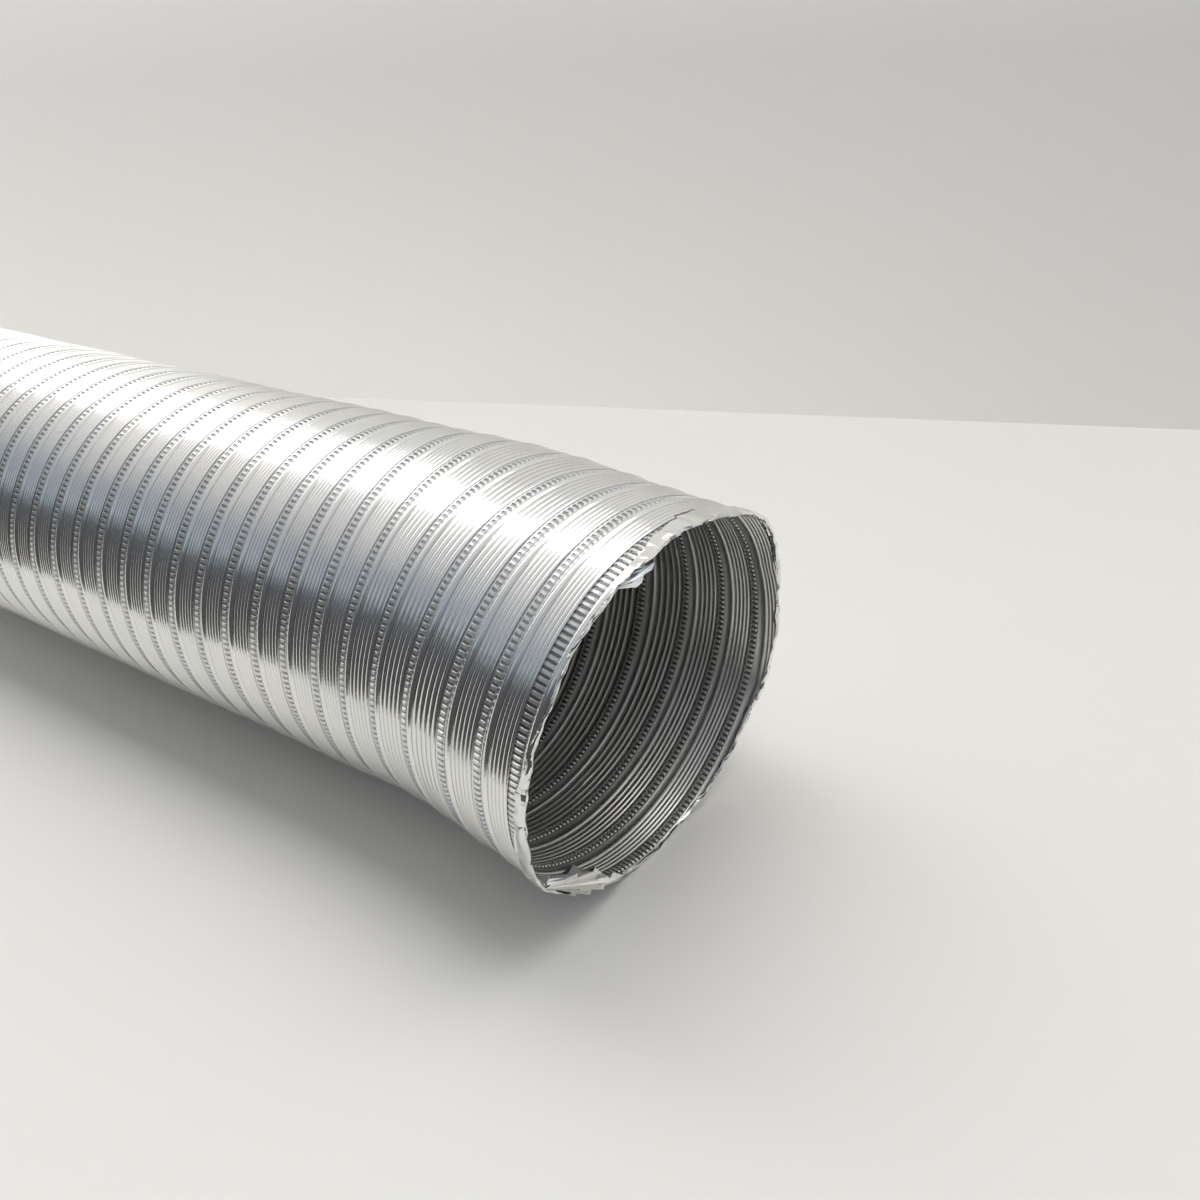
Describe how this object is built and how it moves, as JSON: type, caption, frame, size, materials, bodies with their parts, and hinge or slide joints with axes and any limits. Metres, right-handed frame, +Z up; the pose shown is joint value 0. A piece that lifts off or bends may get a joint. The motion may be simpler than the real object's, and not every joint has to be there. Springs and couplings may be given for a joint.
{
  "type": "flexible air duct",
  "caption": "Flexible round duct of ribbed aluminium foil, closed up and lying down, open at both ends; it pulls out and bends.",
  "frame": {"origin": "centre of the bore at the far end's end face", "axes": "+X along the straight length from the far end towards the mouth, +Z up; the mouth end curves towards -Y; the duct rests on the plane z = -0.0775"},
  "size_m": [0.5186, 0.1691, 0.1555],
  "materials": {
    "foil": "bare ribbed foil, bright rolled surface"
  },
  "bodies": {
    "far_end": {"far_cuff": "foil", "stretch_turns_3": "foil"},
    "section_5": {"bend_turns_3": "foil"},
    "section_4": {"stretch_turns_2": "foil"},
    "section_3": {"bend_turns_2": "foil"},
    "section_2": {"stretch_turns_1": "foil"},
    "section_1": {"bend_turns_1": "foil"},
    "mouth_end": {"mouth_cuff": "foil"}
  },
  "joints": [
    {"name": "pull_out", "type": "slide", "parent": "far_end", "child": "section_5", "axis": [1, 0, 0], "range_m": [0, 0.125], "deforming": ["stretch_turns_3"]},
    {"name": "far_bend", "type": "hinge", "parent": "section_5", "child": "section_4", "pos_m": [0.15438, 0.077, 0], "axis": [0, 0, 1], "range_deg": [0, 30], "deforming": ["bend_turns_3"]},
    {"name": "pull_out_2", "type": "slide", "parent": "section_4", "child": "section_3", "axis": [1, 0, 0], "range_m": [0, 0.125], "deforming": ["stretch_turns_2"]},
    {"name": "middle_bend", "type": "hinge", "parent": "section_3", "child": "section_2", "pos_m": [0.28437, 0, 0.077], "axis": [0, -1, 0], "range_deg": [0, 30], "deforming": ["bend_turns_2"]},
    {"name": "pull_out_1", "type": "slide", "parent": "section_2", "child": "section_1", "axis": [1, 0, 0], "range_m": [0, 0.125], "deforming": ["stretch_turns_1"]},
    {"name": "mouth_bend", "type": "hinge", "parent": "section_1", "child": "mouth_end", "pos_m": [0.41413, -0.07806, 0], "axis": [0, 0, -1], "range_deg": [-10, 27], "deforming": ["bend_turns_1"]}
  ],
  "couplings": [
    {"joint": "pull_out_2", "follows": "pull_out", "ratio": 1},
    {"joint": "pull_out_1", "follows": "pull_out", "ratio": 1}
  ]
}
